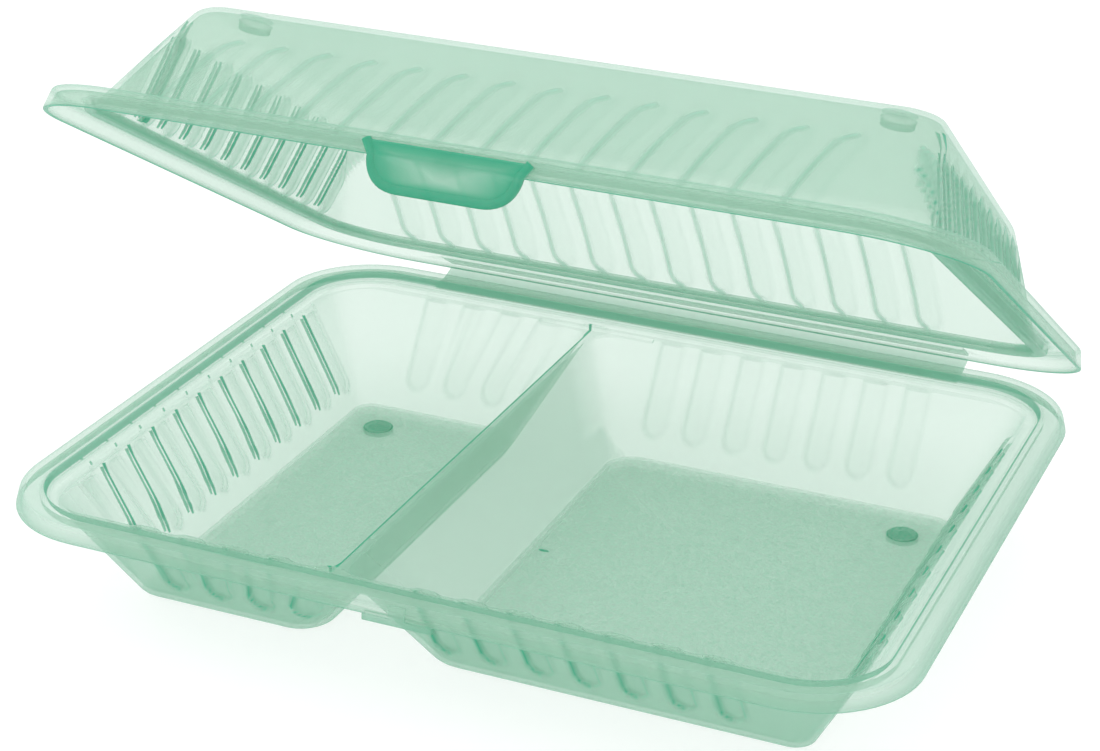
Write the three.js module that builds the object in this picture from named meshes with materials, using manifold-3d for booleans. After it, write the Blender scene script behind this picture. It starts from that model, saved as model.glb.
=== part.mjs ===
// A takeaway meal container with two compartments and a hinged lid, in thin translucent plastic.
// Millimetres. X runs from left to right, Y from the latch to the hinge, Z up from the table.
// The origin is on the table, under the middle of the tray.
import * as THREE from "three";
import { mergeVertices } from "three/addons/utils/BufferGeometryUtils.js";
import Module from "manifold-3d";

// Driving dimensions of the rim
const RIM_LENGTH = 252.8; // top outer edge of the tray's rim, left to right
const RIM_DEPTH = 206; // the same edge, front to back
const RIM_CORNER = 29; // its corner radius, seen from above
const RIM_HEIGHT = 38; // table to the top of the rim
const WALL = 1.3; // thickness of the plastic
const SKIRT_HEIGHT = 5; // the turned-down outer edge of the tray
const SKIRT_FLARE = 1.2; // how far the skirt spreads on its way down
const BEAD_WIDTH = 6.9; // raised outer band of the rim
const LAND_DROP = 2.5; // the flat land inside the bead lies this much lower
const LAND_INSET = 12.2; // rim's outer edge to the top of the compartment walls
const EDGE_ROUND = 0.8;
const BEAD_DRAFT = 0.2; // the bead's upright sides lean by this much
const ROOT_INNER = 1.8; // the land runs this far past the wall tops, into the walls
const ROOT_OUTER = 3; // and is thicker over this width outside them
const ROOT_DEPTH = 1;
const ROOT_CHAMFER = 0.6;

// Driving dimensions of the compartments
const SIDE_SLOPE = THREE.MathUtils.degToRad(27); // left, right and divider walls, from vertical
const END_SLOPE = THREE.MathUtils.degToRad(33); // front and back walls
const SIDE_FILLET = 3; // wall to floor, inside
const END_FILLET = 7;
const CORNER_TOP = 12; // compartment corner radius at the land and at the floor
const CORNER_FLOOR = 4;
const RIDGE_CORNER_TOP = 7; // the same beside the divider
const RIDGE_CORNER_FLOOR = 8;
const RIDGE_X = -25.9; // middle of the divider
const RIDGE_WIDTH = 3;
const RIDGE_DROP = 1.9; // the divider stops this much below the land

// Driving dimensions of the lid
const LID_RISE = 32.7; // top of the lid's rim to the middle of the roof
const ROOF_TILT = 0.0013; // share of the dome's depth that it gains per millimetre towards the latch
const LID_SKIRT = 6.2;
const LID_SIDE_SLOPE = THREE.MathUtils.degToRad(15.3);
const LID_END_SLOPE = THREE.MathUtils.degToRad(42.6);
const LID_SIDE_FILLET = 4.2;
const LID_END_FILLET = 10.7;
const DOME_CORNER = 7; // corner radius at the roof
const FIT = 0.3; // rim to rim, when shut
const SKIRT_FIT = 0.4; // between the two skirts
const STEP_FIT = 0.8; // between the tray's bead and the lid's step
const FOOT_FIT = 0.4; // between the tray's land and the foot of that step

// Flutes: shallow upright channels pressed into the walls from outside
const FLUTE_DEPTH = 1.2;
const FLUTE_RAMP = 0.9;
const FLUTE_PITCH = 13.2;
const FLUTE_END = 6.5; // plain wall above the floor
const FLUTE_RUNOUT = 2; // height over which a channel runs out there
const FLUTE_START = 2.3; // plain wall above the lid's rim
const SIDE_FLUTES = 11;
const SIDE_FLUTE_SHIFT = -4; // the row starts nearer the latch
const SMALL_FLUTES = 4;
const SMALL_FLUTE_MIDDLE = -61.5;
const LARGE_FLUTES = 7;
const LARGE_FLUTE_MIDDLE = 40;
const LID_FLUTES = 14;
const LID_FLUTE_MIDDLE = -4.6;
const FLUTE_LEAN = 0.12; // the lid's long rows lean to the right, seen from outside
const FLUTE_CURL = 0.005; // and curl further that way towards the roof

// Driving dimensions of hinge and latch
const HINGE_Y = 115.9;
const HINGE_Z = 35.7;
const HINGE_HALF = 88; // the hinge web reaches this far to both sides
const HINGE_WEB = 0.8;
const HINGE_GAP = 0.4; // each half of the web ends this far from the fold
const HINGE_SHELF = 4.5; // the tray's half runs level this far, then rises to the fold
const HINGE_RISE = 0.4; // the lid's half rises this much towards the lid
const OPEN_ANGLE = THREE.MathUtils.degToRad(30.2); // how far the lid stands open
const LATCH_X = -1;
const TAB_TOP_WIDTH = 44;
const TAB_LENGTH = 11.4;
const TAB_DROP = 2.5; // lid rim to the tab's upper edge
const TAB_THICKNESS = 2;
const TAB_CORNER = 8;
const TAB_TAPER = 3; // each side leans in by this much
const TAB_WAIST = 0.8; // and does so down to the corner but for this
const LIP_RADIUS = 1.3;
const CATCH_WIDTH = 19.4;
const CATCH_HEIGHT = 1.7;
const BUTTON_WIDTH = 4.5;
const CATCH_PROUD = 0.1; // ledge and button stand this far out of the skirt's foot
const CATCH_ROOT = 2; // and reach this far in behind it
const BUTTON_ROOT = 1.6;
const BUTTON_DROP = 1.2; // rim to the button's upper edge
const BUTTON_ROOM = 0.9; // beside the button, in the lid's skirt

// Small round pads at the corners of the floors and of the roof
const PAD_RADIUS = 4.5;
const PAD_HEIGHT = 0.5;
const PAD_X = 86.5;
const PAD_Y = 57;
const LUG_HEIGHT = 2.3;
const LUG_X = 92;
const LUG_Y = -47;

// How finely the roundings are cut, and how far joined shapes run into each other
const CORNER_STEPS = 4;
const RIM_CORNER_STEPS = 6;
const DISC_SIDES = 16;
const OVERLAP = 0.1;
const CUT_PAST = 0.6; // a hollow is cut this far past its open edge
const PLASTIC = { color: 0x8fd3b8, roughness: 0.35, metalness: 0 };

// Levels that follow from the dimensions above
const landZ = RIM_HEIGHT - LAND_DROP;
const ridgeZ = landZ - RIDGE_DROP;
const lidRimZ = RIM_HEIGHT + FIT + WALL;
const lidFootZ = landZ + FOOT_FIT;
const roofZ = lidRimZ + LID_RISE;

const wasm = await Module();
wasm.setup();

// A closed geometry as a manifold solid.
function solid(geometry) {
  geometry.deleteAttribute("normal");
  geometry.deleteAttribute("uv");
  const merged = mergeVertices(geometry, 1e-4);
  return new wasm.Manifold(
    new wasm.Mesh({
      numProp: 3,
      vertProperties: merged.attributes.position.array,
      triVerts: new Uint32Array(merged.index.array),
    }),
  );
}

// Moves the places of a row of channels into a wall's straight length, four to a channel, and says
// what share of each channel's width is left there.
function fitRow(centres, from, to) {
  const half = FLUTE_PITCH / 4;
  const width = 2 * (half + FLUTE_RAMP);
  const spare = 0.05;
  const last = 4 * centres.length;
  return centres.map((centre, k) => {
    const places = [-half - FLUTE_RAMP, -half, half, half + FLUTE_RAMP].map((v, i) => {
      const lowest = from + spare * (4 * k + i + 1);
      const highest = to - spare * (last - 4 * k - i);
      return Math.min(Math.max(centre + v, lowest), highest);
    });
    return { places, share: (places[3] - places[0]) / width };
  });
}

// Points round a rounded box seen from above, anticlockwise from the front right corner. The
// flutes are pressed in by depth at the centres listed for each side.
function ring(box, z, steps, flutes, depth) {
  const points = [];
  const add = (x, y) => points.push([x, y, z]);
  const corner = (cx, cy, radius, start) => {
    for (let i = 0; i <= steps; i++) {
      const angle = start + (Math.PI / 2) * (i / steps);
      add(cx + radius * Math.cos(angle), cy + radius * Math.sin(angle));
    }
  };
  const { left, right, front, back, leftRadius, rightRadius } = box;
  const channels = (centres, from, to, place) => {
    const row = fitRow(centres, Math.min(from, to), Math.max(from, to));
    if (from > to) row.reverse();
    for (const { places, share } of row) {
      const [a, b, c, d] = from < to ? places : places.reverse();
      place(a, 0);
      place(b, depth * share);
      place(c, depth * share);
      place(d, 0);
    }
  };
  const rightY = [front + rightRadius, back - rightRadius];
  const leftY = [back - leftRadius, front + leftRadius];
  corner(right - rightRadius, rightY[0], rightRadius, -Math.PI / 2);
  channels(flutes.right, ...rightY, (y, d) => add(right - d, y));
  corner(right - rightRadius, rightY[1], rightRadius, 0);
  channels(flutes.back, right - rightRadius, left + leftRadius, (x, d) => add(x, back - d));
  corner(left + leftRadius, leftY[0], leftRadius, Math.PI / 2);
  channels(flutes.left, ...leftY, (y, d) => add(left + d, y));
  corner(left + leftRadius, leftY[1], leftRadius, Math.PI);
  channels(flutes.front, left + leftRadius, right - rightRadius, (x, d) => add(x, front + d));
  return points;
}

const noFlutes = { left: [], right: [], front: [], back: [] };

// Centres of a row of flutes.
function fluteRow(count, middle) {
  return Array.from({ length: count }, (_, i) => middle + (i - (count - 1) / 2) * FLUTE_PITCH);
}

// Joins rings of equal length into one closed mesh, either capped or joined end to end.
function skin(rings, closed) {
  const count = rings[0].length;
  const vertices = rings.flat(2);
  const triangles = [];
  const bands = closed ? rings.length : rings.length - 1;
  for (let r = 0; r < bands; r++) {
    const lower = r * count;
    const upper = ((r + 1) % rings.length) * count;
    for (let i = 0; i < count; i++) {
      const j = (i + 1) % count;
      triangles.push(lower + i, lower + j, upper + j, lower + i, upper + j, upper + i);
    }
  }
  const cap = (points, first, up) => {
    const middle = vertices.length / 3;
    const mean = [0, 1, 2].map((k) => points.reduce((sum, p) => sum + p[k], 0) / count);
    vertices.push(...mean);
    for (let i = 0; i < count; i++) {
      const j = (i + 1) % count;
      triangles.push(middle, first + (up ? i : j), first + (up ? j : i));
    }
  };
  if (!closed) {
    cap(rings[0], 0, false);
    cap(rings.at(-1), (rings.length - 1) * count, true);
  }
  const geometry = new THREE.BufferGeometry();
  geometry.setAttribute("position", new THREE.Float32BufferAttribute(vertices, 3));
  geometry.setIndex(triangles);
  return solid(geometry);
}

// How far a wall has moved inwards at a depth from its open edge. It runs straight at a slope,
// then round a fillet that ends level at the full reach.
function wallInset(depth, reach, slope, fillet) {
  const centreDepth = reach - fillet;
  const tangentDepth = centreDepth + fillet * Math.sin(slope);
  if (depth <= tangentDepth) return depth * Math.tan(slope);
  const centreInset = tangentDepth * Math.tan(slope) + fillet * Math.cos(slope);
  const past = Math.min(depth - centreDepth, fillet);
  return centreInset - Math.sqrt(fillet ** 2 - past ** 2);
}

// A fluted tub, open side first. shape gives the sides, slopes, fillets, reach, flutes and the
// depths of its levels; grow is zero for the hollow and WALL for the outer skin.
function tub(shape, grow) {
  const reach = shape.reach + grow;
  const inset = (depth, slope, fillet) =>
    wallInset(depth, reach, slope, fillet + grow) - grow / Math.cos(slope);
  const depths = shape.depths(grow);
  const rings = depths.map(({ depth, fluted }) => {
    const share = Math.min(1, Math.max(0, depth / reach));
    const cornerRadius = ([top, floor]) => top + (floor - top) * share + grow;
    const box = {
      left: shape.left + inset(depth - shape.leftLag, shape.sideSlope, shape.sideFillet),
      right: shape.right - inset(depth - shape.rightLag, shape.sideSlope, shape.sideFillet),
      front: shape.front + inset(depth, shape.endSlope, shape.endFillet),
      back: shape.back - inset(depth, shape.endSlope, shape.endFillet),
      leftRadius: cornerRadius(shape.leftCorners),
      rightRadius: cornerRadius(shape.rightCorners),
    };
    const z = shape.mouthZ + shape.direction * depth;
    const lean = shape.tilt ? FLUTE_LEAN * depth + FLUTE_CURL * depth ** 2 : 0;
    const flutes = {
      ...shape.flutes,
      front: shape.flutes.front.map((x) => x + lean),
      back: shape.flutes.back.map((x) => x - lean),
    };
    const flat = ring(box, z, CORNER_STEPS, flutes, fluted ? FLUTE_DEPTH : 0);
    const deepened = shape.direction * Math.max(depth, 0) * shape.tilt;
    return flat.map(([px, py, pz]) => [px, py, pz - deepened * py]);
  });
  if (shape.direction < 0) rings.reverse();
  return skin(rings, false);
}

// Levels of a wall from its mouth to its floor, with the channels ending in short ramps.
function levels(reach, mouth, endsAtMouth, rises) {
  return (grow) => {
    const full = reach + grow;
    const list = [{ depth: mouth(grow), fluted: !endsAtMouth }];
    if (endsAtMouth) {
      list.push({ depth: FLUTE_START - FLUTE_RAMP, fluted: false });
      list.push({ depth: FLUTE_START, fluted: true });
    }
    list.push({ depth: full - FLUTE_END - FLUTE_RUNOUT - grow, fluted: true });
    for (const rise of [FLUTE_END + grow, ...rises]) list.push({ depth: full - rise, fluted: false });
    return list;
  };
}

// A band round the rim: a closed outline of [inset, height] pairs, outer side first, going up.
function rimBand(outline) {
  const rings = outline.map(([inset, z]) => {
    const x = RIM_LENGTH / 2 - inset;
    const y = RIM_DEPTH / 2 - inset;
    const radius = RIM_CORNER - inset;
    const box = { left: -x, right: x, front: -y, back: y, leftRadius: radius, rightRadius: radius };
    return ring(box, z, RIM_CORNER_STEPS, noFlutes, 0);
  });
  return skin(rings, true);
}

// A straight prism along X from an outline of [y, z] pairs.
function prismX(outline, fromX, toX) {
  const shape = new THREE.Shape(outline.map(([y, z]) => new THREE.Vector2(y, z)));
  const geometry = new THREE.ExtrudeGeometry(shape, { depth: toX - fromX, bevelEnabled: false });
  geometry.rotateY(Math.PI / 2);
  geometry.rotateX(Math.PI / 2);
  geometry.translate(fromX, 0, 0);
  return solid(geometry);
}

function block(x0, x1, y0, y1, z0, z1) {
  const geometry = new THREE.BoxGeometry(x1 - x0, y1 - y0, z1 - z0);
  geometry.translate((x0 + x1) / 2, (y0 + y1) / 2, (z0 + z1) / 2);
  return solid(geometry);
}

function disc(x, y, radius, z0, z1) {
  const geometry = new THREE.CylinderGeometry(radius, radius, z1 - z0, DISC_SIDES);
  geometry.rotateX(Math.PI / 2);
  geometry.translate(x, y, (z0 + z1) / 2);
  return solid(geometry);
}

// The wall tops lie on one rectangle inside the rim.
const mouthX = RIM_LENGTH / 2 - LAND_INSET;
const mouthY = RIM_DEPTH / 2 - LAND_INSET;

const sideRow = fluteRow(SIDE_FLUTES, SIDE_FLUTE_SHIFT);
const outerCorners = [CORNER_TOP, CORNER_FLOOR];
const ridgeCorners = [RIDGE_CORNER_TOP, RIDGE_CORNER_FLOOR];

const TUB_START = 2; // the tubs' outer skins begin this much below the land
const FILLET_RISES = [3, 0.8, 0]; // heights of the levels round the fillet
const DOME_RISES = [2, 0];

// What both compartments of the tray share.
const compartment = {
  front: -mouthY,
  back: mouthY,
  sideSlope: SIDE_SLOPE,
  endSlope: END_SLOPE,
  sideFillet: SIDE_FILLET,
  endFillet: END_FILLET,
  reach: landZ - WALL,
  mouthZ: landZ,
  direction: -1,
  tilt: 0,
  depths: levels(landZ - WALL, (grow) => (grow ? TUB_START : -CUT_PAST), false, FILLET_RISES),
};

// The wall of the divider starts lower, so its slope lags by the drop of the ridge.
const smallEnd = fluteRow(SMALL_FLUTES, SMALL_FLUTE_MIDDLE);
const small = {
  ...compartment,
  left: -mouthX,
  right: RIDGE_X - RIDGE_WIDTH / 2,
  leftLag: 0,
  rightLag: RIDGE_DROP,
  leftCorners: outerCorners,
  rightCorners: ridgeCorners,
  flutes: { left: sideRow, right: [], front: smallEnd, back: smallEnd },
};

const largeEnd = fluteRow(LARGE_FLUTES, LARGE_FLUTE_MIDDLE);
const large = {
  ...compartment,
  left: RIDGE_X + RIDGE_WIDTH / 2,
  right: mouthX,
  leftLag: RIDGE_DROP,
  rightLag: 0,
  leftCorners: ridgeCorners,
  rightCorners: outerCorners,
  flutes: { left: [], right: sideRow, front: largeEnd, back: largeEnd },
};

// The tray's rim: skirt, bead and sunken land, all of one thickness.
function trayRim() {
  const top = RIM_HEIGHT;
  const foot = top - SKIRT_HEIGHT;
  const rootZ = landZ - WALL - ROOT_DEPTH;
  return rimBand([
    [-SKIRT_FLARE, foot],
    [0, top - EDGE_ROUND],
    [EDGE_ROUND, top],
    [BEAD_WIDTH - EDGE_ROUND, top],
    [BEAD_WIDTH, top - EDGE_ROUND],
    [BEAD_WIDTH + BEAD_DRAFT, landZ],
    [LAND_INSET + ROOT_INNER, landZ],
    [LAND_INSET + ROOT_INNER, rootZ],
    [LAND_INSET - ROOT_OUTER, rootZ],
    [LAND_INSET - ROOT_OUTER - ROOT_CHAMFER, landZ - WALL],
    [BEAD_WIDTH - WALL, landZ - WALL],
    [BEAD_WIDTH - WALL - BEAD_DRAFT, top - WALL],
    [WALL + BEAD_DRAFT, top - WALL],
    [WALL - SKIRT_FLARE, foot],
  ]);
}

// The web over the divider, which meets the land at both ends.
function dividerWeb() {
  const end = mouthY + WALL;
  const under = ridgeZ - WALL;
  const reachX = 19; // past the rounded corners beside the divider
  return prismX(
    [
      [-end, under],
      [end, under],
      [end, landZ],
      [mouthY, landZ],
      [mouthY, ridgeZ],
      [-mouthY, ridgeZ],
      [-mouthY, landZ],
      [-end, landZ],
    ],
    RIDGE_X - reachX,
    RIDGE_X + reachX,
  );
}

// The latch's catch: a ledge under the front skirt with a button above it.
function catchLedge() {
  const foot = RIM_HEIGHT - SKIRT_HEIGHT;
  const face = -RIM_DEPTH / 2 - SKIRT_FLARE;
  const half = CATCH_WIDTH / 2;
  const ledge = block(
    LATCH_X - half,
    LATCH_X + half,
    face - CATCH_PROUD,
    face + CATCH_ROOT,
    foot - CATCH_HEIGHT,
    foot + 2 * OVERLAP,
  );
  const width = BUTTON_WIDTH / 2;
  const button = block(
    LATCH_X - width,
    LATCH_X + width,
    face - CATCH_PROUD,
    face + BUTTON_ROOT,
    foot + OVERLAP,
    RIM_HEIGHT - BUTTON_DROP,
  );
  return ledge.add(button);
}

// The tray's half of the hinge web, which runs under the lid's skirt.
function trayHinge() {
  const foot = RIM_HEIGHT - SKIRT_HEIGHT;
  const back = RIM_DEPTH / 2;
  const under = foot - HINGE_WEB - OVERLAP;
  return prismX(
    [
      [back - OVERLAP, under],
      [back + HINGE_SHELF, under],
      [HINGE_Y - HINGE_GAP, HINGE_Z - FIT - HINGE_WEB],
      [HINGE_Y - HINGE_GAP, HINGE_Z - FIT],
      [back + HINGE_SHELF, foot - OVERLAP],
      [back + 1, foot + 3 * OVERLAP],
      [back - OVERLAP, foot + 3 * OVERLAP],
    ],
    -HINGE_HALF,
    HINGE_HALF,
  );
}

function makeTray() {
  const pads = [-PAD_X, PAD_X].map((x) => disc(x, PAD_Y, PAD_RADIUS, WALL / 2, WALL + PAD_HEIGHT));
  const shell = [tub(small, WALL), tub(large, WALL), trayRim(), dividerWeb(), catchLedge(), trayHinge()]
    .reduce((whole, piece) => whole.add(piece))
    .subtract(tub(small, 0))
    .subtract(tub(large, 0));
  return pads.reduce((whole, pad) => whole.add(pad), shell);
}

const domeCorners = [CORNER_TOP, DOME_CORNER];
const domeEnd = fluteRow(LID_FLUTES, LID_FLUTE_MIDDLE);
const dome = {
  left: -mouthX,
  right: mouthX,
  leftLag: 0,
  rightLag: 0,
  front: -mouthY,
  back: mouthY,
  sideSlope: LID_SIDE_SLOPE,
  endSlope: LID_END_SLOPE,
  sideFillet: LID_SIDE_FILLET,
  endFillet: LID_END_FILLET,
  tilt: ROOF_TILT,
  reach: roofZ - WALL - lidFootZ,
  mouthZ: lidFootZ,
  direction: 1,
  leftCorners: domeCorners,
  rightCorners: domeCorners,
  flutes: { left: sideRow, right: sideRow, front: domeEnd, back: domeEnd },
  depths: levels(roofZ - WALL - lidFootZ, (grow) => (grow ? WALL / 2 : -CUT_PAST), true, DOME_RISES),
};

// The lid's rim, shut: a skirt round the tray's skirt and a step that drops onto the land.
function lidRim() {
  const foot = lidRimZ - LID_SKIRT;
  const under = lidRimZ - WALL;
  const stepInset = BEAD_WIDTH + STEP_FIT;
  const lean = BEAD_DRAFT / 2;
  return rimBand([
    [-SKIRT_FLARE - SKIRT_FIT - WALL, foot],
    [-SKIRT_FIT - WALL, lidRimZ - EDGE_ROUND],
    [-SKIRT_FIT - WALL + EDGE_ROUND, lidRimZ],
    [stepInset + WALL - EDGE_ROUND, lidRimZ],
    [stepInset + WALL, lidRimZ - EDGE_ROUND],
    [stepInset + WALL + lean, lidFootZ + WALL],
    [LAND_INSET + ROOT_INNER, lidFootZ + WALL],
    [LAND_INSET + ROOT_INNER, lidFootZ],
    [stepInset, lidFootZ],
    [stepInset - lean, under],
    [lean - SKIRT_FIT, under],
    [-SKIRT_FLARE - SKIRT_FIT, foot],
  ]);
}

// The latch tab: a rounded plate in front of the lid's skirt, with a thick lip round its free edge.
function latchTab() {
  const topZ = lidRimZ - TAB_DROP;
  const footZ = topZ - TAB_LENGTH;
  const half = TAB_TOP_WIDTH / 2;
  const footHalf = half - TAB_TAPER;
  const back = RIM_DEPTH / 2 + SKIRT_FLARE + SKIRT_FIT;
  const edge = new THREE.Path();
  edge.moveTo(-half, topZ);
  edge.lineTo(-footHalf - TAB_WAIST, footZ + TAB_CORNER);
  edge.quadraticCurveTo(-footHalf, footZ, -footHalf + TAB_CORNER, footZ);
  edge.lineTo(footHalf - TAB_CORNER, footZ);
  edge.quadraticCurveTo(footHalf, footZ, footHalf + TAB_WAIST, footZ + TAB_CORNER);
  edge.lineTo(half, topZ);
  const outline = edge.getPoints(6);
  const upright = (geometry, y) => {
    geometry.rotateX(Math.PI / 2);
    geometry.translate(LATCH_X, y, 0);
    return solid(geometry);
  };
  const plate = new THREE.ExtrudeGeometry(new THREE.Shape(outline), {
    depth: TAB_THICKNESS,
    bevelEnabled: false,
  });
  const lipPath = new THREE.CatmullRomCurve3(
    outline.map((p) => new THREE.Vector3(p.x, p.y, 0)),
    false,
    "centripetal",
  );
  const circle = new THREE.Shape();
  circle.absarc(0, 0, LIP_RADIUS, 0, 2 * Math.PI);
  const lip = new THREE.ExtrudeGeometry(circle, { steps: 18, curveSegments: 3, extrudePath: lipPath });
  return upright(plate, -back).add(upright(lip, -back - LIP_RADIUS));
}

// The lid's half of the hinge web, shut.
function lidHinge() {
  const back = RIM_DEPTH / 2 + SKIRT_FLARE + SKIRT_FIT;
  const root = back + 2 * OVERLAP;
  const over = HINGE_Z + FIT;
  return prismX(
    [
      [root, over + HINGE_RISE],
      [HINGE_Y - HINGE_GAP, over],
      [HINGE_Y - HINGE_GAP, over + HINGE_WEB],
      [root, over + HINGE_RISE + HINGE_WEB],
    ],
    -HINGE_HALF,
    HINGE_HALF,
  );
}

function makeLid() {
  const face = RIM_DEPTH / 2 + SKIRT_FLARE + SKIRT_FIT;
  const room = BUTTON_WIDTH / 2 + BUTTON_ROOM;
  const window = block(
    LATCH_X - room,
    LATCH_X + room,
    -face - OVERLAP / 2,
    -face + CATCH_ROOT,
    lidRimZ - LID_SKIRT - 1,
    lidRimZ - WALL - OVERLAP / 2,
  );
  const lugRoofZ = roofZ - ROOF_TILT * LUG_Y * (roofZ - WALL - lidFootZ);
  const lugs = [-LUG_X, LUG_X].map((x) =>
    disc(x, LUG_Y, PAD_RADIUS, lugRoofZ - WALL - LUG_HEIGHT, lugRoofZ - WALL / 2),
  );
  const shell = [tub(dome, WALL), lidRim(), lidHinge()]
    .reduce((whole, piece) => whole.add(piece))
    .subtract(tub(dome, 0))
    .subtract(window)
    .add(latchTab());
  return lugs.reduce((whole, lug) => whole.add(lug), shell);
}

function mesh(name, made) {
  const { vertProperties, triVerts } = made.getMesh();
  const geometry = new THREE.BufferGeometry();
  geometry.setAttribute("position", new THREE.BufferAttribute(vertProperties, 3));
  geometry.setIndex(new THREE.BufferAttribute(triVerts, 1));
  geometry.computeVertexNormals();
  const result = new THREE.Mesh(geometry, new THREE.MeshStandardMaterial(PLASTIC));
  result.name = name;
  return result;
}

const tray = mesh("tray", makeTray());
const lid = mesh("lid", makeLid());
lid.position.set(0, -HINGE_Y, -HINGE_Z);

// The lid turns about the fold of the hinge web, its front edge rising.
const hinge = new THREE.Group();
hinge.position.set(0, HINGE_Y, HINGE_Z);
hinge.rotation.x = -OPEN_ANGLE;
hinge.add(lid);

const container = new THREE.Group();
container.add(tray, hinge);

export default container;
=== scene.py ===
# An open takeaway container in translucent green plastic, dressed for the camera. The tray and the
# lid are rebuilt with smooth flutes, rounded edges and the pressed details, over their solids.
# Shapes are worked out in millimetres, with the lid shut, and made in metres.
from math import atan2, cos, hypot, pi, radians, sin, sqrt, tan

import bpy
from mathutils import Matrix, Vector


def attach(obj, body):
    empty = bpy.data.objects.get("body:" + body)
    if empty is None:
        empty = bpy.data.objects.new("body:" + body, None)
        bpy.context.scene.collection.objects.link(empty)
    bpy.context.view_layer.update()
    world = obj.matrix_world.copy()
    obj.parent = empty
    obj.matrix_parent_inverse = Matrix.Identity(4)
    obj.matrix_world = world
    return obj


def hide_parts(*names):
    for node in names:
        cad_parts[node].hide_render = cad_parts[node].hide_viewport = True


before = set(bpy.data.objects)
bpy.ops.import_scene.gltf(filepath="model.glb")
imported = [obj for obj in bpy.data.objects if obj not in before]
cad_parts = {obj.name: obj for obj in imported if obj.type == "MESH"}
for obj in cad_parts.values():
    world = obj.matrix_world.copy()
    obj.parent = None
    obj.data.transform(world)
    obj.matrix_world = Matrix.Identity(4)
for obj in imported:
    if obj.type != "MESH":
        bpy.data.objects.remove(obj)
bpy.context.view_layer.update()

METRE = 0.001

# The rim. Most sizes down to the round marks are those of the solids
RIM_LENGTH = 252.8
RIM_DEPTH = 206
RIM_CORNER = 29
RIM_HEIGHT = 38
WALL = 1.3
SKIRT_HEIGHT = 5
SKIRT_FLARE = 1.2
BEAD_WIDTH = 6.9
LAND_DROP = 2.5
LAND_INSET = 12.2
BEAD_DRAFT = 0.2
ROOT_INNER = 1.8  # how far the land runs into the walls
ROOT_OUTER = 3  # width over which it is thicker outside them
ROOT_DEPTH = 1
ROOT_CHAMFER = 0.6

# The compartments
SIDE_SLOPE = radians(27)
END_SLOPE = radians(33)
SIDE_FILLET = 3
END_FILLET = 7
CORNER_TOP = 12
CORNER_FLOOR = 4
RIDGE_CORNER_TOP = 7
RIDGE_CORNER_FLOOR = 8
RIDGE_X = -25.9
RIDGE_WIDTH = 3
RIDGE_DROP = 1.9
TUB_START = 2  # the outsides of the compartments begin this much below the land
WEB_REACH = 19  # from the middle of the divider past the rounded corners beside it

# The lid
LID_RISE = 32.7
ROOF_TILT = 0.0013
LID_SKIRT = 6.2
LID_SIDE_SLOPE = radians(15.3)
LID_END_SLOPE = radians(42.6)
LID_SIDE_FILLET = 4.2
LID_END_FILLET = 10.7
DOME_CORNER = 7
FIT = 0.3
SKIRT_FIT = 0.4
STEP_FIT = 0.8
FOOT_FIT = 0.4

# The flutes
FLUTE_DEPTH = 1.2
FLUTE_PITCH = 13.2
FLUTE_HALF = 3.5  # half the width of a flute, at half its depth
FLUTE_SOFT = 1.1  # half the width of its rounded flank
FLUTE_END = 7.5
FLUTE_FADE = 3  # flutes grow shallow over this much beside a corner
LID_FLUTE_START = 6.5
TRAY_FLUTE_START = -20  # far above the land, so that the flutes run out at the top of the wall
SIDE_FLUTES = 11
SIDE_FLUTE_SHIFT = -4
SMALL_FLUTES = 4
SMALL_FLUTE_MIDDLE = -61.5
LARGE_FLUTES = 7
LARGE_FLUTE_MIDDLE = 40
LID_FLUTES = 14
LID_FLUTE_MIDDLE = -4.6
FLUTE_LEAN = 0.12
FLUTE_CURL = 0.005

# The hinge and the latch
HINGE_Y = 115.9
HINGE_Z = 35.7
HINGE_HALF = 88
HINGE_WEB = 0.8
HINGE_GAP = 0.4
HINGE_SHELF = 4.5
HINGE_RISE = 0.4
OPEN_ANGLE = radians(30.2)
LATCH_X = -1
TAB_TOP_WIDTH = 44
TAB_LENGTH = 11.4
TAB_DROP = 2.5
TAB_THICKNESS = 2
TAB_CORNER = 8
TAB_TAPER = 3
TAB_WAIST = 0.8
LIP_RADIUS = 1.3
CATCH_WIDTH = 19.4
CATCH_HEIGHT = 1.7
CATCH_PROUD = 0.1
CATCH_ROOT = 2
BUTTON_WIDTH = 4.5
BUTTON_ROOT = 1.6
BUTTON_DROP = 1.2
BUTTON_ROOM = 0.9

# Round marks
PAD_RADIUS = 4.5
PAD_HEIGHT = 0.5
PAD_X = 86.5
PAD_Y = 57
LUG_HEIGHT = 2.3
LUG_X = 92
LUG_Y = -47

# Fineness of the meshes, and how far joined shapes run into each other
ARC_STEPS = 10
RIM_ARC_STEPS = 16
SAMPLE = 1.1
EDGE_RADIUS = 0.9
LEAST_STEP = 0.04
OVERLAP = 0.1
CUT_PAST = 0.6
SHARP_ANGLE = radians(32)

# Colours of the plastic
PALE_GREEN = (0.66, 0.80, 0.71)
DEEP_GREEN = (0.03, 0.42, 0.25)
CLEAR_GREEN = (0.905, 0.95, 0.925)

# How dense the plastic is where it is clear, and how much deep green and frost add to that; on the
# frosted floors part of it is painted shade from beneath them
CLEAR_DENSITY = 0.13
GREEN_DENSITY = 0.75
FROST_AND_SHADE_DENSITY = 0.22
GLOW_SHARE = 0.4  # of its light that comes through from behind
GLOSS_ROUGHNESS = 0.2
FROST_ROUGHNESS = 0.3  # added where it is frosted

# How much greener than the plain plastic each mark is
SLANT_TONE = 0.36
SLANT_POWER = 1.6
# Lines of painted shade down the flutes' flanks and along the divider
SHADE_LINE_TONE = 0.85
# Painted shade up the front corners of the lid
CORNER_SHADE_TONE = 0.8
NICK_TONE = 0.5
PAD_TONE = 0.4
# The frosted floors are greener partly for their frost and partly as painted shade from beneath them
FROST_AND_SHADE_TONE = 0.12
PEBBLE_TONE = 0.35

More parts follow.
